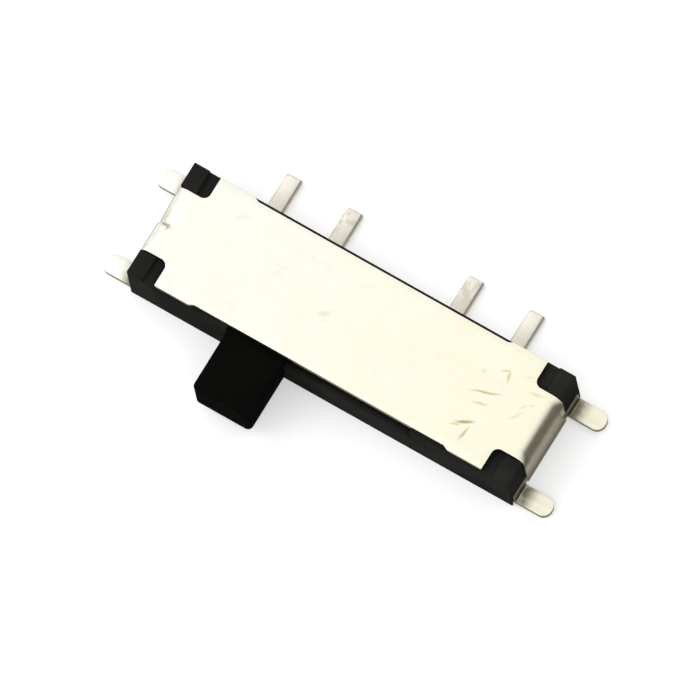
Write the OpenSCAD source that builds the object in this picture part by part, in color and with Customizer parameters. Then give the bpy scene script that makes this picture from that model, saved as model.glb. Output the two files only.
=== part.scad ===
// Side-actuated slide switch for surface mounting: three positions, four signal terminals.
// X runs along the switch, -Y points out of the knob side, +Y out of the terminal side, and z = 0 is the
// board. The origin is the middle of the housing's underside. Millimetres.

/* [Housing] */
// Length of the housing between the two end walls that the cover wraps round
housing_l = 9.2; // [9:0.1:12]
// Depth of the housing from the knob side to the terminal side
housing_d = 2.8; // [2.7:0.05:3.6]
// Height of the whole switch from the board to the top of the cover
body_h = 1.5; // [1.4:0.05:2.2]
// Thickness of the floor under the cavity
floor_t = 0.4; // [0.35:0.05:0.5]
// Thickness of the front wall, which has the window for the knob
front_wall = 0.3; // [0.2:0.05:0.4]
// Thickness of the rear wall, which the terminals pass through
rear_wall = 0.35; // [0.3:0.05:0.45]
// Thickness of the wall at each end of the cavity
end_wall = 0.7; // [0.65:0.05:0.9]
// How far the window's sill lies below the cover
sill_drop = 0.45; // [0.35:0.05:0.6]

/* [Corner posts] */
// Size of the notch in the cover at each corner, along the switch
notch_x = 0.55; // [0.45:0.05:0.6]
// Size of the notch in the cover at each corner, across the switch
notch_y = 0.58; // [0.4:0.02:0.58]
// How far each post stops short of the cover's end face
post_short = 0.03; // [0:0.01:0.1]
// Width of the raised rim along each post's outer end
post_rim = 0.39; // [0.3:0.01:0.45]
// How far the rim lies below the top of the cover
post_drop = 0.04; // [0:0.01:0.1]

/* [Cover] */
// Thickness of the cover's sheet
sheet = 0.15; // [0.1:0.01:0.2]
// How far the cover's long edges lie inside the housing's faces
cover_inset = 0.03; // [0:0.01:0.1]
// Depth of the shallow recess along each long edge
recess_d = 0.055; // [0.02:0.005:0.1]
// Length of the shallow recess along each long edge
recess_l = 6.4; // [5:0.1:7]
// Inner radius of the bend between the top and each end
bend_in = 0.12; // [0.03:0.01:0.15]
// Radius of the inner corner of each notch
notch_r = 0.16; // [0.05:0.01:0.25]
// Height of each end's lower edge above the board
end_gap = 0.06; // [0.03:0.01:0.12]
// Height of the side wings above the bend of the legs
wing_h = 0.2; // [0.04:0.01:0.4]

/* [Solder legs] */
// Width of each leg
leg_w = 0.45; // [0.3:0.01:0.5]
// How far each leg sticks out beyond the cover's end
leg_l = 0.78; // [0.5:0.02:1.2]
// How far each leg's outer edge lies inside the housing's face
leg_edge = 0.08; // [0:0.01:0.15]
// Width of the flat stretch at each leg's rounded tip
leg_flat = 0.04; // [0.02:0.01:0.1]
// Inner radius of the bend at the foot of each leg
leg_bend = 0.05; // [0.03:0.01:0.1]
// Width of the relief cut beside each leg
relief_w = 0.1; // [0.06:0.01:0.15]

/* [Terminals] */
// Distance between the two terminals of a pair, and between neighbouring switch positions
pitch = 1.5; // [1.4:0.05:1.6]
// Width of each terminal outside the housing
lead_w = 0.4; // [0.3:0.05:0.5]
// How far each terminal sticks out of the rear wall
lead_l = 1.1; // [0.6:0.05:1.6]
// Thickness of the terminals' sheet
lead_t = 0.15; // [0.1:0.01:0.2]
// Radius of the corners at each terminal's tip
tip_r = 0.07; // [0.03:0.01:0.12]
// Length of each throw pad along the switch
pad_l = 1.1; // [0.9:0.05:1.15]
// Width of each throw pad across the switch
pad_w = 0.5; // [0.4:0.05:0.55]
// Width of the common rail across the switch
rail_w = 0.4; // [0.3:0.05:0.45]
// Width of the strips that join pads and leads inside the floor
strip_w = 0.2; // [0.15:0.01:0.22]
// Distance from the strips' lane to the rear wall
lane_edge = 0.1; // [0.05:0.01:0.14]
// Distance from the cavity to the step of each terminal inside the rear wall
jog_edge = 0.08; // [0.05:0.01:0.1]

/* [Slider] */
// Width of the knob along the switch
knob_w = 1.38; // [1:0.02:1.5]
// How far the knob sticks out beyond the housing
knob_out = 1.45; // [0.8:0.05:2.5]
// Height of the knob
knob_h = 0.96; // [0.7:0.02:1.05]
// Radius of the knob's upright corners
knob_r = 0.12; // [0.05:0.01:0.25]
// Thickness of the slider above the moving contact
roof_t = 0.3; // [0.2:0.05:0.35]
// Travel beyond the two outer positions, up to the stops
overtravel = 0.05; // [0:0.01:0.06]
// Thickness of the springy arm that carries the detent bump
arm_t = 0.14; // [0.1:0.01:0.16]
// Half the length of the springy arm
arm_half = 0.95; // [0.6:0.05:1.2]
// Width of the slot that frees the springy arm
slot_w = 0.12; // [0.08:0.01:0.14]
// Radius of the detent bump
bump_r = 0.16; // [0.1:0.01:0.2]
// How far the detent bump stands out of the arm
bump_out = 0.04; // [0.02:0.005:0.045]

/* [Moving contact] */
// Thickness of the contact clip's sheet
clip_t = 0.08; // [0.05:0.01:0.1]
// Width of the contact clip along the switch
clip_w = 0.56; // [0.4:0.02:0.7]
// Radius of the clip's rounded feet
foot_r = 0.12; // [0.08:0.01:0.14]
// Gap between the two fingers of each arm
finger_gap = 0.12; // [0.08:0.01:0.2]

/* [Clearances] */
// Running gap around the moving pieces
run_gap = 0.05; // [0.05:0.005:0.07]
// Gap between pieces that sit in or on each other
fit_gap = 0.02; // [0.01:0.005:0.03]

/* [Hidden] */

black = [0.08, 0.08, 0.08];
knob_black = [0.05, 0.05, 0.055];
tinned = [0.93, 0.92, 0.85];
silvered = [0.85, 0.83, 0.77];
bronze = [0.8, 0.62, 0.4];

// Sides that round shapes are drawn with, and how far a cutting shape runs past the face it cuts
round_fn = 32;
past = 0.1;

// The housing's half sizes and levels
half_l = housing_l / 2;
half_d = housing_d / 2;
wall_z = body_h - sheet;
sill_z = wall_z - sill_drop;
rim_z = body_h - post_drop;
cavity_half = half_l - end_wall;
cavity_front = -half_d + front_wall;
cavity_back = half_d - rear_wall;

// The cover wraps round the housing's ends
bend_out = bend_in + sheet;
cover_half = half_l + sheet;
cover_edge = half_d - cover_inset;
notch_edge_x = half_l - notch_x;
notch_edge_y = cover_edge - notch_y;
post_y = notch_edge_y + fit_gap;
post_x = cover_half - post_short;
recess_slope = 2 * recess_d;

// The legs bend outward at the foot of each end
foot_z = leg_bend + sheet;
leg_y = half_d - leg_edge - leg_w / 2;
wing_y = leg_y + leg_w / 2;
wing_z = foot_z + wing_h;
lower_half = leg_y - leg_w / 2 - relief_w;
leg_tip = cover_half + leg_l;

// The knob rests against its left stop, and its middle position is x = 0
travel = pitch + overtravel;
rest_x = -travel;
window_half = travel + knob_w / 2 + run_gap / 2;
slider_top = wall_z - run_gap;
slider_low = floor_t + run_gap;
slider_half = cavity_half - travel - run_gap;
slider_front = cavity_front + run_gap;
slider_back = cavity_back - run_gap;
neck_z = sill_z + run_gap;
knob_back = -half_d - run_gap;
knob_tip = -half_d - knob_out;
arm_y = slider_back - arm_t;
bump_y = slider_back + bump_out - bump_r;

// Rows in the floor, with three equal gaps: front wall, common rail, throw pads, lane of strips
row_gap = (cavity_back - cavity_front - rail_w - pad_w - strip_w - lane_edge) / 3;
rail_y = cavity_front + row_gap + rail_w / 2;
pad_y = rail_y + rail_w / 2 + row_gap + pad_w / 2;
lane_y = cavity_back - lane_edge - strip_w / 2;
jog_y = cavity_back + jog_edge;
pad_z = floor_t - lead_t;
lead_tip = half_d + lead_l;

// The contact clip: one foot on the rail, the other on a pad
clip_y = (pad_y + rail_y) / 2;
clip_reach = (pad_y - rail_y) / 2;
clip_shoulder = clip_reach / 2;
clip_end = clip_reach + foot_r + clip_t / 2;
roof_z = slider_top - roof_t;
clip_top = roof_z - fit_gap - clip_t / 2;
foot_centre = floor_t + fit_gap + clip_t / 2 + foot_r;

// A box from its low corner to its high corner
module block(low, high) {
    translate(low) cube(high - low);
}

// Its children, and their copy at the left end
module both_ends() {
    children();
    mirror([1, 0, 0]) children();
}

// Its children, and their copy on the other long side
module both_sides() {
    children();
    mirror([0, 1, 0]) children();
}

// A quarter of a bent sheet round an axis along Y, in the +X +Z quarter
module quarter_bend(r_in, r_out, y_low, y_high) {
    y_long = y_high - y_low;
    intersection() {
        translate([0, y_high, 0]) rotate([90, 0, 0]) difference() {
            cylinder(r = r_out, h = y_long, $fn = round_fn);
            translate([0, 0, -past]) cylinder(r = r_in, h = y_long + 2 * past, $fn = round_fn);
        }
        block([0, y_low - past, 0], [r_out + past, y_high + past, r_out + past]);
    }
}

// A bar of half width w that starts at zero and ends rounded at a distance l, with corner radius r
module round_bar(w, l, r) {
    translate([-w, 0]) square([2 * w, l - r]);
    translate([r - w, 0]) square([2 * (w - r), l]);
    for (x = [r - w, w - r]) translate([x, l - r]) circle(r = r, $fn = round_fn);
}

// Housing

// The cavity, and the window that lets the knob out
module cavity() {
    block([-cavity_half, cavity_front, floor_t], [cavity_half, cavity_back, wall_z + past]);
    block([-window_half, -half_d - past, sill_z], [window_half, cavity_front + past, wall_z + past]);
}

// The grooves that the detent bump falls into, one for each position
module detent_grooves() {
    for (i = [-1:1]) translate([i * pitch, bump_y, floor_t])
        cylinder(r = bump_r + run_gap, h = wall_z - floor_t + past, $fn = round_fn);
}

// The outer end of a corner post: it stands beside the cover's end, with a raised rim, and is cut away
// where the cover's wing and leg pass
module post() {
    difference() {
        union() {
            block([half_l - past, post_y, 0], [post_x, half_d, rim_z]);
            block([post_x - post_rim, post_y, wall_z - past], [post_x, half_d, rim_z]);
        }
        block([half_l, post_y - past, -past], [post_x + past, wing_y + fit_gap, wing_z + fit_gap]);
    }
}

// Room for the inside of the cover's bend
module end_chamfer() {
    translate([0, notch_edge_y, 0]) rotate([90, 0, 0]) linear_extrude(height = 2 * notch_edge_y)
        polygon([[half_l - bend_in, wall_z], [half_l, wall_z - bend_in],
                 [half_l + past, wall_z - bend_in], [half_l + past, wall_z + past],
                 [half_l - bend_in, wall_z + past]]);
}

module housing() {
    color(black) {
        difference() {
            block([-half_l, -half_d, 0], [half_l, half_d, wall_z]);
            cavity();
            detent_grooves();
            both_ends() end_chamfer();
            terminal_throw(-1);
            terminal_common();
            terminal_throw(0);
            terminal_throw(1);
        }
        both_ends() both_sides() post();
    }
}

// Cover

// Outline of the flat top, with its corner notches and shallow recesses
module cover_outline() {
    difference() {
        square([2 * notch_edge_x, 2 * cover_edge], center = true);
        for (side = [-1, 1]) scale([1, side]) polygon([
            [-recess_l / 2, cover_edge + past], [-recess_l / 2, cover_edge],
            [-recess_l / 2 + recess_slope, cover_edge - recess_d],
            [recess_l / 2 - recess_slope, cover_edge - recess_d],
            [recess_l / 2, cover_edge], [recess_l / 2, cover_edge + past]]);
    }
    square([2 * (half_l - bend_in), 2 * notch_edge_y], center = true);
    for (end = [-1, 1], side = [-1, 1]) scale([end, side]) translate([notch_edge_x, notch_edge_y])
        difference() {
            translate([-past, -past]) square(notch_r + past);
            translate([notch_r, notch_r]) circle(r = notch_r, $fn = round_fn);
        }
}

// One end of the cover, bent down from the top, with the wings that carry its legs
module cover_end() {
    translate([half_l - bend_in, 0, wall_z - bend_in])
        quarter_bend(bend_in, bend_out, -notch_edge_y, notch_edge_y);
    block([half_l, -notch_edge_y, foot_z], [cover_half, notch_edge_y, wall_z - bend_in]);
    block([half_l, -lower_half, end_gap], [cover_half, lower_half, foot_z]);
    block([half_l, -wing_y, foot_z], [cover_half, wing_y, wing_z]);
}

// One solder leg: it bends outward at the foot of the wing and lies flat on the board
module leg() {
    bend_x = cover_half + leg_bend;
    translate([bend_x, 0, foot_z]) rotate([0, 180, 0])
        quarter_bend(leg_bend, foot_z, leg_y - leg_w / 2, leg_y + leg_w / 2);
    translate([bend_x, leg_y, 0]) linear_extrude(height = sheet) rotate(-90)
        round_bar(leg_w / 2, leg_tip - bend_x, (leg_w - leg_flat) / 2);
}

module cover() {
    color(tinned) {
        translate([0, 0, wall_z]) linear_extrude(height = sheet) cover_outline();
        both_ends() {
            cover_end();
            both_sides() leg();
        }
    }
}

// Terminals

// A flat strip at the pads' level, from corner to corner in plan
module floor_strip(low, high) {
    block([low[0], low[1], pad_z], [high[0], high[1], floor_t]);
}

// The part of a terminal that steps down inside the rear wall and runs out over the board
module lead(x) {
    block([x - lead_w / 2, jog_y, 0], [x + lead_w / 2, jog_y + lead_t, floor_t]);
    translate([x, jog_y, 0]) linear_extrude(height = lead_t) round_bar(lead_w / 2, lead_tip - jog_y, tip_r);
}

// A throw terminal, for the left, middle or right position (i = -1, 0 or 1)
module terminal_throw(i) {
    pad_x = i * pitch;
    lead_x = i == 0 ? pitch : 2 * i * pitch;
    low_y = i == 0 ? lane_y - strip_w / 2 : pad_y - strip_w / 2;
    high_y = low_y + strip_w;
    color(silvered) {
        lead(lead_x);
        floor_strip([pad_x - pad_l / 2, pad_y - pad_w / 2], [pad_x + pad_l / 2, pad_y + pad_w / 2]);
        floor_strip([lead_x - lead_w / 2, low_y], [lead_x + lead_w / 2, jog_y + lead_t]);
        floor_strip([min(pad_x, lead_x) - (i < 0 ? lead_w : strip_w) / 2, low_y],
                    [max(pad_x, lead_x) + (i < 0 ? strip_w : lead_w) / 2, high_y]);
        floor_strip([pad_x - strip_w / 2, pad_y], [pad_x + strip_w / 2, high_y]);
    }
}

// The common terminal: its strip passes between two throw pads to a rail along the front
module terminal_common() {
    rail_half = travel + clip_w;
    color(silvered) {
        lead(-pitch);
        floor_strip([-pitch - lead_w / 2, lane_y - strip_w / 2], [-pitch + lead_w / 2, jog_y + lead_t]);
        floor_strip([-pitch - lead_w / 2, lane_y - strip_w / 2],
                    [(strip_w - pitch) / 2, lane_y + strip_w / 2]);
        floor_strip([-(pitch + strip_w) / 2, rail_y], [(strip_w - pitch) / 2, lane_y + strip_w / 2]);
        floor_strip([-rail_half, rail_y - rail_w / 2], [rail_half, rail_y + rail_w / 2]);
    }
}

// Slider

// The knob outside the window, its corners rounded in plan
module knob() {
    translate([0, knob_back, slider_top - knob_h]) mirror([0, 1, 0])
        linear_extrude(height = knob_h) round_bar(knob_w / 2, knob_back - knob_tip, knob_r);
}

module slider() {
    color(knob_black) translate([rest_x, 0, 0]) {
        difference() {
            union() {
                block([-slider_half, slider_front, slider_low], [slider_half, slider_back, slider_top]);
                block([-knob_w / 2, knob_back - knob_r, neck_z], [knob_w / 2, slider_front + past, slider_top]);
                knob();
            }
            contact_pocket();
            block([-arm_half, arm_y - slot_w, slider_low - past], [arm_half, arm_y, slider_top + past]);
        }
        intersection() {
            translate([0, bump_y, slider_low])
                cylinder(r = bump_r, h = slider_top - slider_low, $fn = round_fn);
            block([-bump_r, arm_y, slider_low], [bump_r, slider_back + bump_r, slider_top]);
        }
    }
}

// The pocket in the slider's underside that holds the contact clip
module contact_pocket() {
    reach = clip_end + run_gap;
    block([-clip_w / 2 - fit_gap, clip_y - reach, slider_low - past],
          [clip_w / 2 + fit_gap, clip_y + reach, roof_z]);
}

// Moving contact

function side_of(d) = [-d[1], d[0]] / norm(d);
function mitre(a, b) = (side_of(a) + side_of(b)) / (1 + side_of(a) * side_of(b));

// A line of sheet of thickness t that follows a list of points
module bent_sheet(path, t) {
    last = len(path) - 1;
    side = [for (i = [0:last])
        mitre(path[max(i, 1)] - path[max(i, 1) - 1], path[min(i, last - 1) + 1] - path[min(i, last - 1)])];
    polygon(concat([for (i = [0:last]) path[i] + side[i] * t / 2],
                   [for (i = [last:-1:0]) path[i] - side[i] * t / 2]));
}

// The clip's line across the switch: up from one foot, over the top and down to the other
function foot_arc() = [for (a = [225:15:345]) [clip_reach, foot_centre] + foot_r * [cos(a), sin(a)]];
function half_clip() = concat([[clip_shoulder, clip_top]], foot_arc());
function clip_line() = let (half = half_clip(), last = len(half) - 1)
    concat([for (i = [last:-1:0]) [-half[i][0], half[i][1]]], half);

module moving_contact() {
    color(bronze) translate([rest_x, clip_y, 0]) difference() {
        translate([-clip_w / 2, 0, 0]) rotate([90, 0, 90])
            linear_extrude(height = clip_w) bent_sheet(clip_line(), clip_t);
        both_sides() block([-finger_gap / 2, clip_shoulder, floor_t - past],
                           [finger_gap / 2, clip_end + past, roof_z + past]);
    }
}

housing();
cover();
slider();
moving_contact();
terminal_throw(-1);  // terminal_throw_1
terminal_common();
terminal_throw(0);  // terminal_throw_2
terminal_throw(1);  // terminal_throw_3
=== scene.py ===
import math

import bmesh
import bpy
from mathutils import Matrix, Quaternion, Vector, noise


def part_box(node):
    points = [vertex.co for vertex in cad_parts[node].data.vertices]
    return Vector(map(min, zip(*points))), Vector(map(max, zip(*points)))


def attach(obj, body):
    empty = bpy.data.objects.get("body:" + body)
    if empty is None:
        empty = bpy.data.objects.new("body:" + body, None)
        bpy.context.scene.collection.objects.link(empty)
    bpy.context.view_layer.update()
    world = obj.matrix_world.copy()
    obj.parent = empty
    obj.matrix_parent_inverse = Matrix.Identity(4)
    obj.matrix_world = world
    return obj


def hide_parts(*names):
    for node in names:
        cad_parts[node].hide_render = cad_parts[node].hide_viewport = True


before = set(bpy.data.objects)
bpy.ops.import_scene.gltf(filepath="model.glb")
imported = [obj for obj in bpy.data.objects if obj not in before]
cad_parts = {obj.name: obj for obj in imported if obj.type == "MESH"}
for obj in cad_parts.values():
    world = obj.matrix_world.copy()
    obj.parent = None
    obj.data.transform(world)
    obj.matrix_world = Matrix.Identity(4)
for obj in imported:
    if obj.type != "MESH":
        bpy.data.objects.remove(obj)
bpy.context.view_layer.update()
scene = bpy.context.scene
scene.view_settings.view_transform = "Standard"
mm = 0.001


def boxOf(node):
    low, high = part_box(node)
    return low / mm, high / mm


housingLow, housingHigh = boxOf("housing")
coverHigh = boxOf("cover")[1]

# Camera: far away and without perspective, looking down on the switch
view = {
    "azimuth": 44,
    "elevation": 72.7,
    "roll": -13.35,
    "frameWidth": 14.78,
    "lookAt": (0.248, -0.475, 1.34),
    "distance": 80,
}


def setCamera():
    azimuth = math.radians(view["azimuth"])
    elevation = math.radians(view["elevation"])
    back = Vector((math.sin(azimuth) * math.cos(elevation),
                   -math.cos(azimuth) * math.cos(elevation), math.sin(elevation)))
    data = bpy.data.cameras.new("camera")
    data.type = "ORTHO"
    data.ortho_scale = view["frameWidth"] * mm
    data.clip_start = mm
    data.clip_end = 1
    camera = bpy.data.objects.new("camera", data)
    scene.collection.objects.link(camera)
    turn = (-back).to_track_quat("-Z", "Y")
    camera.rotation_mode = "QUATERNION"
    camera.rotation_quaternion = turn @ Quaternion((0, 0, 1), math.radians(view["roll"]))
    camera.location = (Vector(view["lookAt"]) + back * view["distance"]) * mm
    scene.camera = camera


setCamera()
print("camera set")


# Node helpers
def put(tree, kind, inputs=None, **settings):
    made = tree.nodes.new("ShaderNode" + kind)
    for name, value in settings.items():
        setattr(made, name, value)
    for key, value in (inputs or {}).items():
        if isinstance(value, bpy.types.NodeSocket):
            tree.links.new(value, made.inputs[key])
        else:
            made.inputs[key].default_value = value
    return made


def newFinish(name, **shaderValues):
    finish = bpy.data.materials.new(name)
    finish.use_nodes = True
    tree = finish.node_tree
    shader = tree.nodes["Principled BSDF"]
    for socket, value in shaderValues.items():
        shader.inputs[socket.replace("_", " ")].default_value = value
    place = put(tree, "TexCoord").outputs["Object"]
    inMillimetres = put(tree, "Mapping", {"Vector": place, "Scale": (1 / mm,) * 3}).outputs[0]
    return finish, tree, shader, inMillimetres


def cloud(tree, place, scale, detail=3, stretch=(1, 1, 1)):
    stretched = put(tree, "Mapping", {"Vector": place, "Scale": stretch}).outputs[0]
    return put(tree, "TexNoise", {"Vector": stretched, "Scale": scale, "Detail": detail}).outputs["Fac"]


def spread(tree, value, low, high, toLow=0.0, toHigh=1.0, interpolation="SMOOTHSTEP"):
    ends = {"Value": value, "From Min": low, "From Max": high, "To Min": toLow, "To Max": toHigh}
    return put(tree, "MapRange", ends, interpolation_type=interpolation).outputs[0]


def mixColours(tree, factor, first, second):
    return put(tree, "Mix", {0: factor, 6: first, 7: second}, data_type="RGBA").outputs[2]


# One colour after another up the height, from (millimetres, colour) pairs
def byHeight(tree, height, steps):
    low, high = steps[0][0], steps[-1][0]
    ramp = put(tree, "ValToRGB", {0: spread(tree, height, low, high, interpolation="LINEAR")})
    stops = ramp.color_ramp.elements
    while len(stops) < len(steps):
        stops.new(0.5)
    for stop, (place, colour) in zip(stops, steps):
        stop.position = (place - low) / (high - low)
        stop.color = colour
    return ramp.outputs["Color"]


def sums(tree, kind, first, second=0.0):
    return put(tree, "Math", {0: first, 1: second}, operation=kind).outputs[0]


def bumpy(tree, shader, height, distance):
    bump = put(tree, "Bump", {"Height": height, "Distance": distance * mm})
    before = shader.inputs["Normal"].links
    if before:
        tree.links.new(before[0].from_socket, bump.inputs["Normal"])
    tree.links.new(bump.outputs[0], shader.inputs["Normal"])


# 1 where a face looks up or down, 0 where it is upright: a sheet's flat sides against its cut edges
def flatness(tree, low, high):
    facing = put(tree, "TexCoord").outputs["Normal"]
    upward = put(tree, "SeparateXYZ", {0: facing}).outputs["Z"]
    return spread(tree, sums(tree, "ABSOLUTE", upward), low, high)


# Scratches on the cover, and the painted shade along the nick at the left end: middle x and y, angle in
# degrees, length, width and strength
scratchesAndNickShade = [
    (3.26, 0.13, 19, 0.64, 0.055, 0.80),
    (3.28, -0.13, 16, 0.34, 0.050, 0.55),
    (3.20, -0.65, 23, 0.40, 0.075, 1.00),
    (3.05, -0.78, 20, 0.22, 0.050, 0.55),
    (3.33, -0.88, 79, 0.34, 0.065, 0.75),
    (3.49, 0.66, -77, 0.28, 0.065, 0.60),
    (3.38, 0.75, 20, 0.22, 0.050, 0.50),
    (2.98, 0.52, 30, 0.12, 0.080, 0.30),
    (4.07, 0.00, 62, 0.30, 0.070, 0.32),
    (4.12, 0.24, 50, 0.20, 0.050, 0.28),
    (4.26, 0.36, 40, 0.14, 0.070, 0.24),
    (4.22, 0.62, 15, 0.30, 0.090, 0.30),
    (3.90, 0.88, 25, 0.16, 0.060, 0.24),
    (-0.61, -0.11, 40, 0.30, 0.110, 0.30),
    (-1.90, 0.35, 12, 0.44, 0.040, 0.12),
    (0.90, -0.60, -28, 0.60, 0.035, 0.12),
    # The last three are painted shade, not scratches: a dark line along the nick's step and across it, and a
    # grey wash on the bend behind it
    (-4.60, -0.08, -8, 0.36, 0.060, 0.90),
    (-4.47, -0.11, 80, 0.16, 0.055, 0.80),
    (-4.62, 0.10, 70, 0.40, 0.240, 0.30),
]

# How far the scratches and the painted nick shade wander from a straight line, how deep they reach, and where
# across them they fade
scratchAndShadeForm = {"wander": 0.09, "wanderScale": 3.0, "reach": 0.1, "fade": (1.5, 0.3)}


def scratchAndNickShadeMask(tree, place):
    s = scratchAndShadeForm
    wobble = put(tree, "TexNoise", {"Vector": place, "Scale": s["wanderScale"], "Detail": 2}).outputs["Color"]
    shift = put(tree, "VectorMath", {0: wobble, 1: (-0.5, -0.5, -0.5)}, operation="ADD").outputs[0]
    small = put(tree, "VectorMath", {0: shift, "Scale": s["wander"]}, operation="SCALE").outputs[0]
    bentPlace = put(tree, "VectorMath", {0: place, 1: small}, operation="ADD").outputs[0]
    deepest = None
    for x, y, angle, length, width, strength in scratchesAndNickShade:
        spot = {"Vector": bentPlace, "Location": (x, y, coverHigh.z),
                "Rotation": (0, 0, math.radians(angle)), "Scale": (length / 2, width / 2, s["reach"])}
        local = put(tree, "Mapping", spot, vector_type="TEXTURE").outputs[0]
        away = put(tree, "VectorMath", {0: local}, operation="LENGTH").outputs["Value"]
        mark = spread(tree, away, *s["fade"], 0.0, strength)
        deepest = mark if deepest is None else sums(tree, "MAXIMUM", deepest, mark)
    return deepest


# Bright tin-plated sheet of the cover. Its cut edges take a darker side colour of their own, and its bent
# ends the same side colours as painted reflection and painted shade. A pair says where a shade
# starts and where it is full: a level of the cloud where its name ends in Range, and a place otherwise.
tinSheet = {
    "tin": (0.965, 0.955, 0.865, 1),
    "yellowTin": (0.958, 0.93, 0.735, 1),
    "yellowToRight": 0.12,  # for each millimetre
    "yellowScale": 1.6,
    "yellowRange": (-0.1, 1.1),
    "pinkTin": (0.93, 0.885, 0.80, 1),
    "pinkScale": 1.9,
    "pinkRange": (0.60, 0.76),
    "upFacing": (0.55, 0.99),  # by how much of the face's direction is up
    # painted shade on the roots of the legs and on the wings, mottled by legPatch
    "legRootShade": (0.225, 0.207, 0.153, 1),
    "legRoot": (5.18, 4.80),
    "legBend": (4.79, 4.76),
    "legPatchScale": 4.0,
    "legPatchRange": (0.35, 0.6, 0.6, 1.0),
    "rootHeight": (0.6, 0.5),
    "wingAside": (0.82, 0.90),
    "wingOutward": (4.76, 4.82),
    # Painted reflection and painted shade on the bent ends, and the cut edges' own darker tone: darkest at
    # the foot, a lighter band in the middle, a dark band in the bend
    "sideShadeAndReflection": [  # by height
        (0.22, (0.055, 0.050, 0.036, 1)),
        (0.60, (0.310, 0.292, 0.245, 1)),
        (0.92, (0.310, 0.292, 0.245, 1)),
        (1.14, (0.110, 0.100, 0.070, 1)),
        (1.32, (0.110, 0.100, 0.070, 1)),
        (1.42, (0.165, 0.150, 0.108, 1)),
    ],
    # Painted light: the bend at the left end keeps the top's bright colour, where the right end takes the
    # painted shade of the side colours
    "leftBendLit": (-4.2, -4.4),
    "leftBendHeight": (1.27, 1.46),
    # Painted shade: colour of the dark line and grey wash along the nick, from the last three scratches
    "nick": (0.40, 0.385, 0.30, 1),
    "nickShadePlace": (-4.0, -4.2),
    "scratch": (0.58, 0.45, 0.22, 1),
    "grazing": (0.83, 0.79, 0.68, 1),
    "roughness": (0.30, 0.40),
    "scratchRoughness": 0.2,
    "rollScale": 1.0,
    "rollStretch": (0.5, 12, 12),
    "rollRange": (0.35, 0.65),
    "rollDepth": 0.0004,
    "grain": 24,
    "grainDepth": 0.0005,
    "scratchDepth": 0.002,
}


def tinnedSheet():
    t = tinSheet
    finish, tree, shader, place = newFinish("tinnedSheet", Metallic=1.0, Specular_Tint=t["grazing"])
    where = put(tree, "SeparateXYZ", {0: place}).outputs
    toRight = sums(tree, "MULTIPLY", where["X"], t["yellowToRight"])
    yellow = sums(tree, "ADD", cloud(tree, place, t["yellowScale"], detail=4), toRight)
    yellow = spread(tree, yellow, *t["yellowRange"])
    pink = spread(tree, cloud(tree, place, t["pinkScale"], detail=4), *t["pinkRange"])
    rolled = cloud(tree, place, t["rollScale"], detail=4, stretch=t["rollStretch"])
    grain = cloud(tree, place, t["grain"], detail=2)
    scratchAndShadeMarks = scratchAndNickShadeMask(tree, place)

    # Where the side colours go: upright faces, and the roots of the legs as painted shade; the bend at the
    # left end keeps the top's bright colour as painted light
    outward = sums(tree, "ABSOLUTE", where["X"])
    patchy = spread(tree, cloud(tree, place, t["legPatchScale"], detail=2), *t["legPatchRange"])
    legRoot = sums(tree, "MULTIPLY", spread(tree, outward, *t["legRoot"]), patchy)
    legRoot = sums(tree, "MAXIMUM", legRoot, spread(tree, outward, *t["legBend"]))
    rooted = sums(tree, "MULTIPLY", spread(tree, where["Z"], *t["rootHeight"]), legRoot)
    flat = sums(tree, "SUBTRACT", flatness(tree, *t["upFacing"]), rooted)
    leftBendLit = sums(tree, "MULTIPLY", spread(tree, where["X"], *t["leftBendLit"]),
                    spread(tree, where["Z"], *t["leftBendHeight"]))
    flat = sums(tree, "MAXIMUM", flat, leftBendLit)

    top = mixColours(tree, yellow, t["tin"], t["yellowTin"])
    top = mixColours(tree, pink, top, t["pinkTin"])
    # Scratches take the scratch colour; at the left end the marks are the nick's painted shade
    scratchAndNickShadeColour = mixColours(tree, spread(tree, where["X"], *t["nickShadePlace"]), t["scratch"], t["nick"])
    top = mixColours(tree, scratchAndShadeMarks, top, scratchAndNickShadeColour)
    wing = sums(tree, "MAXIMUM", spread(tree, sums(tree, "ABSOLUTE", where["Y"]), *t["wingAside"]),
                spread(tree, outward, *t["wingOutward"]))
    # Side colour: painted reflection and painted shade by height, and painted shade on the wings and leg
    # roots
    side = mixColours(tree, wing, byHeight(tree, where["Z"], t["sideShadeAndReflection"]), t["legRootShade"])
    tree.links.new(mixColours(tree, flat, side, top), shader.inputs["Base Color"])
    matt = sums(tree, "ADD", spread(tree, rolled, *t["rollRange"], *t["roughness"]),
                sums(tree, "MULTIPLY", scratchAndShadeMarks, t["scratchRoughness"]))
    tree.links.new(matt, shader.inputs["Roughness"])
    bumpy(tree, shader, rolled, t["rollDepth"])
    bumpy(tree, shader, grain, t["grainDepth"])
    bumpy(tree, shader, sums(tree, "MULTIPLY", scratchAndShadeMarks, -1.0), t["scratchDepth"])
    return finish


# Black moulded plastic, as it comes from a spark-eroded mould
blackPlastic = {
    "flowScale": 0.9,
    "flowRange": (0.35, 0.65),
    "flowDepth": 0.004,
    "grain": 26,
    "grainRange": (0.35, 0.65),
    "grainDepth": 0.002,
    "dust": (0.075, 0.072, 0.066, 1),
    "dustScale": 14,
    "dustRange": (0.66, 0.80, 0.0, 0.15),
}
housingPlastic = {
    "dark": (0.019, 0.0188, 0.0172, 1),
    "light": (0.028, 0.0275, 0.025, 1),
    "roughness": (0.72, 0.86),
    "specular": 0.004,
}
sliderPlastic = {
    "dark": (0.0032, 0.0038, 0.003, 1),
    "light": (0.0045, 0.005, 0.004, 1),
    "roughness": (0.68, 0.82),
    "specular": 0.002,
}


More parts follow.
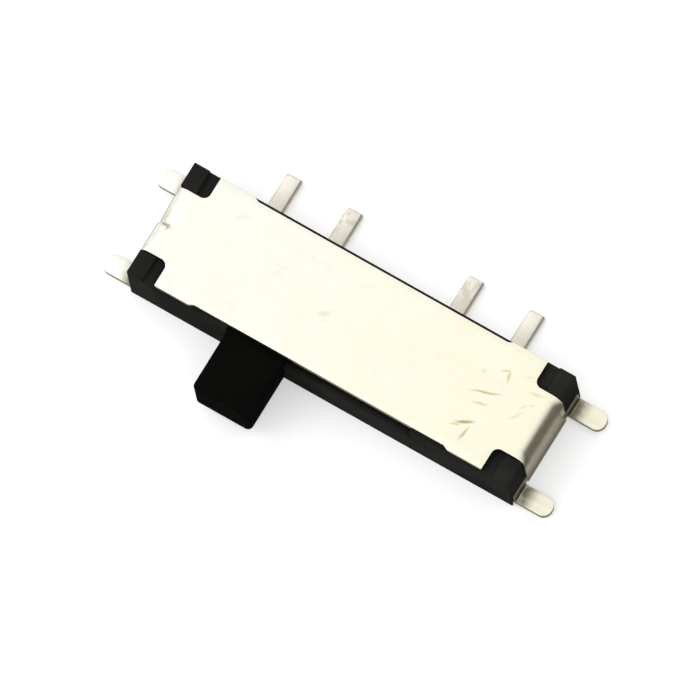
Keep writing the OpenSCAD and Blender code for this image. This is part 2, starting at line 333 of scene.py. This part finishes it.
def mouldedPlastic(name, dark, light, roughness, specular):
    b = blackPlastic
    finish, tree, shader, place = newFinish(name, Specular_IOR_Level=specular)
    flow = cloud(tree, place, b["flowScale"])
    grain = cloud(tree, place, b["grain"], detail=2)
    dust = spread(tree, cloud(tree, place, b["dustScale"]), *b["dustRange"])
    skin = mixColours(tree, spread(tree, flow, *b["flowRange"]), dark, light)
    tree.links.new(mixColours(tree, dust, skin, b["dust"]), shader.inputs["Base Color"])
    tree.links.new(spread(tree, grain, *b["grainRange"], *roughness), shader.inputs["Roughness"])
    bumpy(tree, shader, flow, b["flowDepth"])
    bumpy(tree, shader, grain, b["grainDepth"])
    return finish


# Plated strip of the terminals and of the moving contact: duller in random patches, with painted shade
# towards a lead's root, darker where it was sheared, and with painted shade on the sides and rounded edges
# that look to the right
platedForm = {
    "patchScale": 3.6,
    "patchRange": (0.50, 0.70),
    "patchDepth": 0.003,
    # painted shade towards a lead's root, by the housing
    "leadRootShade": (2.3, 1.7),
    "upFacing": (0.1, 0.5),
    # painted shade on faces that look to the right
    "shadeFacingRight": (0.35, 0.0),
    "grain": 30,
    "grainRange": (0.3, 0.7),
    "grainDepth": 0.0006,
}
terminalPlating = {
    "bright": (0.92, 0.885, 0.77, 1),
    "dull": (0.72, 0.675, 0.57, 1),
    # cut sides, and painted shade on edges that look to the right
    "shearedAndShaded": (0.50, 0.465, 0.39, 1),
    "roughness": (0.26, 0.4),
}
contactBronze = {
    "bright": (0.78, 0.58, 0.36, 1),
    "dull": (0.66, 0.45, 0.26, 1),
    # cut sides, and painted shade on edges that look to the right
    "shearedAndShaded": (0.60, 0.42, 0.24, 1),
    "roughness": (0.22, 0.36),
}


def platedStrip(name, bright, dull, shearedAndShaded, roughness):
    p = platedForm
    finish, tree, shader, place = newFinish(name, Metallic=1.0)
    patchesAndRootShade = spread(tree, cloud(tree, place, p["patchScale"], detail=2), *p["patchRange"])
    outward = put(tree, "SeparateXYZ", {0: place}).outputs["Y"]
    # Painted shade towards the root, on top of the random dull patches
    patchesAndRootShade = sums(tree, "MAXIMUM", patchesAndRootShade, spread(tree, outward, *p["leadRootShade"]))
    grain = cloud(tree, place, p["grain"], detail=2)
    plated = mixColours(tree, patchesAndRootShade, bright, dull)
    facing = put(tree, "TexCoord").outputs["Normal"]
    rightward = put(tree, "SeparateXYZ", {0: facing}).outputs["X"]
    # Painted shade: the sheared colour also on rounded edges that look to the right
    flat = sums(tree, "MINIMUM", flatness(tree, *p["upFacing"]), spread(tree, rightward, *p["shadeFacingRight"]))
    tree.links.new(mixColours(tree, flat, shearedAndShaded, plated), shader.inputs["Base Color"])
    tree.links.new(spread(tree, grain, *p["grainRange"], *roughness), shader.inputs["Roughness"])
    bumpy(tree, shader, patchesAndRootShade, p["patchDepth"])
    bumpy(tree, shader, grain, p["grainDepth"])
    return finish


coverFinish = tinnedSheet()
housingFinish = mouldedPlastic("housingPlastic", **housingPlastic)
sliderFinish = mouldedPlastic("sliderPlastic", **sliderPlastic)
terminalFinish = platedStrip("terminalPlating", **terminalPlating)
contactFinish = platedStrip("contactBronze", **contactBronze)
print("finishes made")


# How close a point lies to a place, or to a cut, to count as there
near = 0.001
onCut = 0.002


# Mesh helpers
def onlyVerts(geometry):
    return [g for g in geometry if isinstance(g, bmesh.types.BMVert)]


def onlyEdges(geometry):
    return [g for g in geometry if isinstance(g, bmesh.types.BMEdge)]


def onlyFaces(geometry):
    return [g for g in geometry if isinstance(g, bmesh.types.BMFace)]


def pull(bm, edges, by):
    grown = bmesh.ops.extrude_edge_only(bm, edges=edges)["geom"]
    verts = onlyVerts(grown)
    bmesh.ops.translate(bm, vec=by, verts=verts)
    return [e for e in onlyEdges(grown) if all(v in verts for v in e.verts)]


def bend(bm, edges, centre, axis, steps):
    ends = [v for e in edges for v in e.verts]
    turned = bmesh.ops.spin(bm, geom=edges + list(set(ends)), cent=centre, axis=axis,
                            angle=math.pi / 2, steps=steps)
    return onlyEdges(turned["geom_last"])


def cutAt(bm, faces, axis, place):
    parts = list(set(faces) | {e for f in faces for e in f.edges} | {v for f in faces for v in f.verts})
    point = Vector((0, 0, 0))
    point[axis] = place
    normal = Vector((0, 0, 0))
    normal[axis] = 1
    cut = bmesh.ops.bisect_plane(bm, geom=parts, plane_co=point, plane_no=normal, dist=onCut)
    return onlyFaces(cut["geom"])


def roundEdges(bm, edges, radius, segments=3):
    bmesh.ops.bevel(bm, geom=edges, offset=radius, offset_type="OFFSET", segments=segments, profile=0.5,
                    affect="EDGES", material=-1, clamp_overlap=True, loop_slide=True)


def roundCorners(bm, corners, radius, segments):
    bmesh.ops.bevel(bm, geom=corners, offset=radius, offset_type="OFFSET", segments=segments, profile=0.5,
                    affect="VERTICES", material=-1)


def finishPiece(bm, name, finish, body, node):
    bmesh.ops.scale(bm, vec=(mm, mm, mm), verts=bm.verts)
    mesh = bpy.data.meshes.new(name)
    bm.to_mesh(mesh)
    bm.free()
    mesh.shade_smooth()
    mesh.materials.append(finish)
    piece = bpy.data.objects.new(name, mesh)
    scene.collection.objects.link(piece)
    evenLight = piece.modifiers.new("evenLight", "WEIGHTED_NORMAL")
    evenLight.keep_sharp = True
    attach(piece, body)
    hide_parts(node)
    return piece


# Cover: one sheet, cut flat, folded down at both ends and out into four legs
coverCut = {
    "sheet": 0.15,
    "overHousing": 9.2,  # between the two bent ends
    "edgeInset": 0.03,
    "notch": (0.55, 0.58),
    "notchFillet": 0.16,
    "recessDepth": 0.055,
    "recessLength": 6.4,
    "cornerFillet": 0.03,
    "bendInside": 0.12,
    "endGap": 0.06,  # from the board to the bent end's lower edge
    "wingHeight": 0.2,
    "legWidth": 0.45,
    "legInset": 0.08,
    "legBend": 0.05,
    "legFlat": 0.04,  # left between the two rounded corners of a tip
    "relief": 0.1,  # cut between a leg and the bent end
    "punchedEdge": 0.06,
    "punchedFrom": 60,  # degrees
    "cell": 0.2,  # of the net that waves
    "wave": 0.005,
    "waveScale": 0.8,
    "waveInward": 0.3,
}

# Nick in the bend at the left end: the sheet is pressed in behind a short sharp step
nick = {"step": (-0.095, -0.065), "fade": 0.50, "inner": -4.40, "rise": 0.07, "depth": 0.030}

# Places that follow from these sizes, the same on all four quarters of the cover
topZ = coverHigh.z
halfHousing = coverCut["overHousing"] / 2
bendOutside = coverCut["bendInside"] + coverCut["sheet"]
wallX = halfHousing + coverCut["sheet"]
bendX, bendZ = wallX - bendOutside, topZ - bendOutside
edgeY = housingHigh.y - coverCut["edgeInset"]
notchX, notchY = halfHousing - coverCut["notch"][0], edgeY - coverCut["notch"][1]
footZ = coverCut["legBend"] + coverCut["sheet"]
wingTop = footZ + coverCut["wingHeight"]
legOuter = housingHigh.y - coverCut["legInset"]
legInner = legOuter - coverCut["legWidth"]
lowerHalf = legInner - coverCut["relief"]


def cutBlank(bm):
    recessX, recessY = coverCut["recessLength"] / 2, edgeY - coverCut["recessDepth"]
    slopeX = recessX - 2 * coverCut["recessDepth"]
    quarter = [(slopeX, recessY), (recessX, edgeY), (notchX, edgeY), (notchX, notchY), (bendX, notchY)]
    outline = [(x, y) for x, y in reversed(quarter)] + [(-x, y) for x, y in quarter]
    outline += [(-x, -y) for x, y in outline]
    bm.faces.new([bm.verts.new((x, y, topZ)) for x, y in outline])

    def cornersAt(x, y):
        return [v for v in bm.verts if abs(abs(v.co.x) - x) < near and abs(abs(v.co.y) - y) < near]

    roundCorners(bm, cornersAt(notchX, notchY), coverCut["notchFillet"], segments=8)
    corners = cornersAt(notchX, edgeY) + cornersAt(recessX, edgeY)
    roundCorners(bm, corners, coverCut["cornerFillet"], segments=4)


def foldLeg(bm, root, side):
    bendMiddle = side * (wallX + coverCut["legBend"])
    leg = bend(bm, root, (bendMiddle, 0, footZ), (0, -side, 0), steps=6)
    leg = pull(bm, leg, (side * coverHigh.x - bendMiddle, 0, 0))
    tip = list({v for e in leg for v in e.verts})
    roundCorners(bm, tip, (coverCut["legWidth"] - coverCut["legFlat"]) / 2, segments=8)


def foldEnd(bm, side):
    end = [e for e in bm.edges if all(abs(v.co.x - side * bendX) < near for v in e.verts)]
    end = bend(bm, end, (side * bendX, 0, bendZ), (0, side, 0), steps=10)
    end = pull(bm, end, (0, 0, wingTop - bendZ))
    end = pull(bm, end, (0, 0, -coverCut["wingHeight"]))
    for flank in (-1, 1):
        cheek = [e for e in bm.edges if all(abs(v.co.x - side * wallX) < near
                 and abs(v.co.y - flank * notchY) < near and v.co.z < wingTop + near for v in e.verts)]
        pull(bm, cheek, (0, flank * (legOuter - notchY), 0))
    band = [f for f in bm.faces if all(v.co.z < wingTop + near and v.co.x * side > 0 for v in f.verts)]
    for cutY in (-legInner, -lowerHalf, lowerHalf, legInner):
        band = cutAt(bm, band, 1, cutY)
    foot = [e for e in bm.edges if all(abs(v.co.z - footZ) < near and v.co.x * side > 0 for v in e.verts)]
    middle = [e for e in foot if all(abs(v.co.y) < lowerHalf + near for v in e.verts)]
    pull(bm, middle, (0, 0, coverCut["endGap"] - footZ))
    for flank in (-1, 1):
        foldLeg(bm, [e for e in foot if all(v.co.y * flank > legInner - near for v in e.verts)], side)


def pressNick(v):
    stepFrom, stepTo = nick["step"]
    along = (v.co.y - stepFrom) / (stepTo - stepFrom)
    if v.co.y >= stepTo:
        along = 1 - (v.co.y - stepTo) / nick["fade"]
    inward = (nick["inner"] - v.co.x) / nick["rise"]
    amount = max(0, min(1, along)) * max(0, min(1, inward))
    v.co -= v.normal * nick["depth"] * amount


# Cuts give the sheet enough points to wave, and the nick its step
def waveSheet(bm):
    for axis, low, high in ((0, -bendX, bendX), (1, -edgeY, edgeY), (2, wingTop, bendZ)):
        count = math.ceil((high - low) / coverCut["cell"])
        for i in range(1, count):
            cutAt(bm, bm.faces[:], axis, low + (high - low) * i / count)
    inner = nick["inner"]
    for axis, places in ((1, nick["step"]), (0, (inner, inner - nick["rise"]))):
        for place in places:
            cutAt(bm, [f for f in bm.faces if f.calc_center_median().x < -notchX], axis, place)
    bmesh.ops.recalc_face_normals(bm, faces=bm.faces)
    bm.normal_update()
    for v in bm.verts:
        if v.co.z > wingTop:
            height = noise.noise(v.co * coverCut["waveScale"]) - coverCut["waveInward"]
            v.co += v.normal * coverCut["wave"] * height
            pressNick(v)


def foldCover():
    bm = bmesh.new()
    cutBlank(bm)
    for side in (-1, 1):
        foldEnd(bm, side)
    waveSheet(bm)
    bmesh.ops.solidify(bm, geom=bm.faces[:], thickness=coverCut["sheet"])
    punchedFrom = math.radians(coverCut["punchedFrom"])
    punched = [e for e in bm.edges if e.is_manifold and e.calc_face_angle() > punchedFrom]
    roundEdges(bm, punched, coverCut["punchedEdge"])
    print("cover", len(bm.faces), "faces,", sum(not e.is_manifold for e in bm.edges), "open edges,",
          "from", [round(min(v.co[i] for v in bm.verts), 3) for i in range(3)],
          "to", [round(max(v.co[i] for v in bm.verts), 3) for i in range(3)])
    return finishPiece(bm, "cover_sheet", coverFinish, "housing", "cover")


foldCover()

# Moulded and stamped pieces: the solid's own form with its sharp edges rounded, one radius after another
rounding = {
    "moulding": 0.03,
    "leadUpper": 0.10,
    "leadLower": 0.04,
    "leadHalfway": 0.05,  # height that parts the upper edges of a lead from the lower
    "rootInside": 0.02,  # how far inside the housing a lead's rounding starts
    "cavity": (4.0, 1.2),  # edges nearer the middle are inside and stay sharp
    "sharpFrom": 35,  # degrees
    "flatBelow": 1,  # degrees
    "weld": 0.0001,
}


# A cut across a lead at its root lets the rounding keep its full width up to there
def softened(node, roundings, rootY=None):
    bm = bmesh.new()
    bm.from_mesh(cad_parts[node].data)
    bmesh.ops.scale(bm, vec=(1 / mm,) * 3, verts=bm.verts)
    bmesh.ops.remove_doubles(bm, verts=bm.verts, dist=rounding["weld"])
    bmesh.ops.dissolve_limit(bm, angle_limit=math.radians(rounding["flatBelow"]),
                             verts=bm.verts, edges=bm.edges)
    if rootY is not None:
        cutAt(bm, bm.faces[:], 1, rootY)
    sharpFrom = math.radians(rounding["sharpFrom"])
    for radius, wanted in roundings:
        sharp = [e for e in bm.edges if e.is_convex and e.calc_face_angle() > sharpFrom
                 and wanted((e.verts[0].co + e.verts[1].co) / 2)]
        roundEdges(bm, sharp, radius)
    print(node, len(bm.faces), "faces,", sum(not e.is_manifold for e in bm.edges), "open edges")
    return bm


def outsideOfHousing(middle):
    cavityX, cavityY = rounding["cavity"]
    return abs(middle.y) > cavityY or abs(middle.x) > cavityX


def knobOfSlider(middle):
    return middle.y < housingLow.y


def upperOfLead(middle):
    return middle.y > housingHigh.y and middle.z > rounding["leadHalfway"]


def lowerOfLead(middle):
    return middle.y > housingHigh.y and middle.z < rounding["leadHalfway"]


finishPiece(softened("housing", [(rounding["moulding"], outsideOfHousing)]),
            "housing_moulding", housingFinish, "housing", "housing")
finishPiece(softened("slider", [(rounding["moulding"], knobOfSlider)]),
            "slider_moulding", sliderFinish, "slider", "slider")
leadRoundings = [(rounding["leadUpper"], upperOfLead), (rounding["leadLower"], lowerOfLead)]
for node in ("terminal_throw_1", "terminal_common", "terminal_throw_2", "terminal_throw_3"):
    finishPiece(softened(node, leadRoundings, housingHigh.y - rounding["rootInside"]),
                node + "_lead", terminalFinish, "housing", node)

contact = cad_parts["moving_contact"]
contact.data.materials.clear()
contact.data.materials.append(contactFinish)
print("pieces made")


# 1 for what the camera sees, straight or mirrored, and 0 for the light that falls on the switch
def seenDirectly(tree):
    ray = put(tree, "LightPath").outputs
    seen = sums(tree, "MAXIMUM", ray["Is Camera Ray"], ray["Is Glossy Ray"])
    return sums(tree, "MAXIMUM", seen, ray["Is Transmission Ray"])


# Floor, world and lamp
studio = {
    "floorSize": 2000,
    "floorDrop": 0.005,  # below the underside, so that the two never share a plane
    "floorColour": (0.85, 0.85, 0.845, 1),
    "floorGlow": 0.42,
    "skyBright": 1.0,
    "skyDim": 0.2,
    "skyTowards": (-0.35, 0.05, 0.93),
    "skyFrom": (-0.1, 0.85),  # dim to bright, by how far a direction agrees with skyTowards
    "horizon": (0.0, -0.01),
    "lampTowards": (-0.6, -0.28, 0.75),
    "lampSize": 110,
    "lampDistance": 160,
    "lampPower": 0.05,
}


def setStudio():
    bm = bmesh.new()
    bmesh.ops.create_grid(bm, x_segments=1, y_segments=1, size=studio["floorSize"] / 2 * mm)
    bmesh.ops.translate(bm, vec=(0, 0, -studio["floorDrop"] * mm), verts=bm.verts)
    mesh = bpy.data.meshes.new("floor")
    bm.to_mesh(mesh)
    bm.free()
    floor = bpy.data.objects.new("floor", mesh)
    scene.collection.objects.link(floor)
    finish, tree, shader = newFinish("paleFloor", Roughness=0.9, Specular_IOR_Level=0.0)[:3]
    shader.inputs["Base Color"].default_value = studio["floorColour"]
    shader.inputs["Emission Color"].default_value = (1, 1, 1, 1)
    tree.links.new(sums(tree, "MULTIPLY", seenDirectly(tree), studio["floorGlow"]),
                   shader.inputs["Emission Strength"])
    mesh.materials.append(finish)

    world = bpy.data.worlds.new("studio")
    world.use_nodes = True
    scene.world = world
    tree = world.node_tree
    direction = put(tree, "TexCoord").outputs["Generated"]
    towards = put(tree, "VectorMath", {0: direction, 1: Vector(studio["skyTowards"]).normalized()},
                  operation="DOT_PRODUCT").outputs["Value"]
    level = spread(tree, towards, *studio["skyFrom"], studio["skyDim"], studio["skyBright"])
    # White where a low camera looks past the floor, below the horizon
    upward = put(tree, "SeparateXYZ", {0: direction}).outputs["Z"]
    below = spread(tree, upward, *studio["horizon"])
    level = sums(tree, "MAXIMUM", level, sums(tree, "MULTIPLY", below, seenDirectly(tree)))
    tree.links.new(level, tree.nodes["Background"].inputs["Strength"])
    tree.nodes["Background"].inputs["Color"].default_value = (1, 1, 1, 1)

    data = bpy.data.lights.new("softbox", "AREA")
    data.size = studio["lampSize"] * mm
    data.energy = studio["lampPower"]
    lamp = bpy.data.objects.new("softbox", data)
    scene.collection.objects.link(lamp)
    towards = Vector(studio["lampTowards"]).normalized()
    lamp.location = towards * studio["lampDistance"] * mm
    lamp.rotation_mode = "QUATERNION"
    lamp.rotation_quaternion = (-towards).to_track_quat("-Z", "Y")


setStudio()
print("studio set")
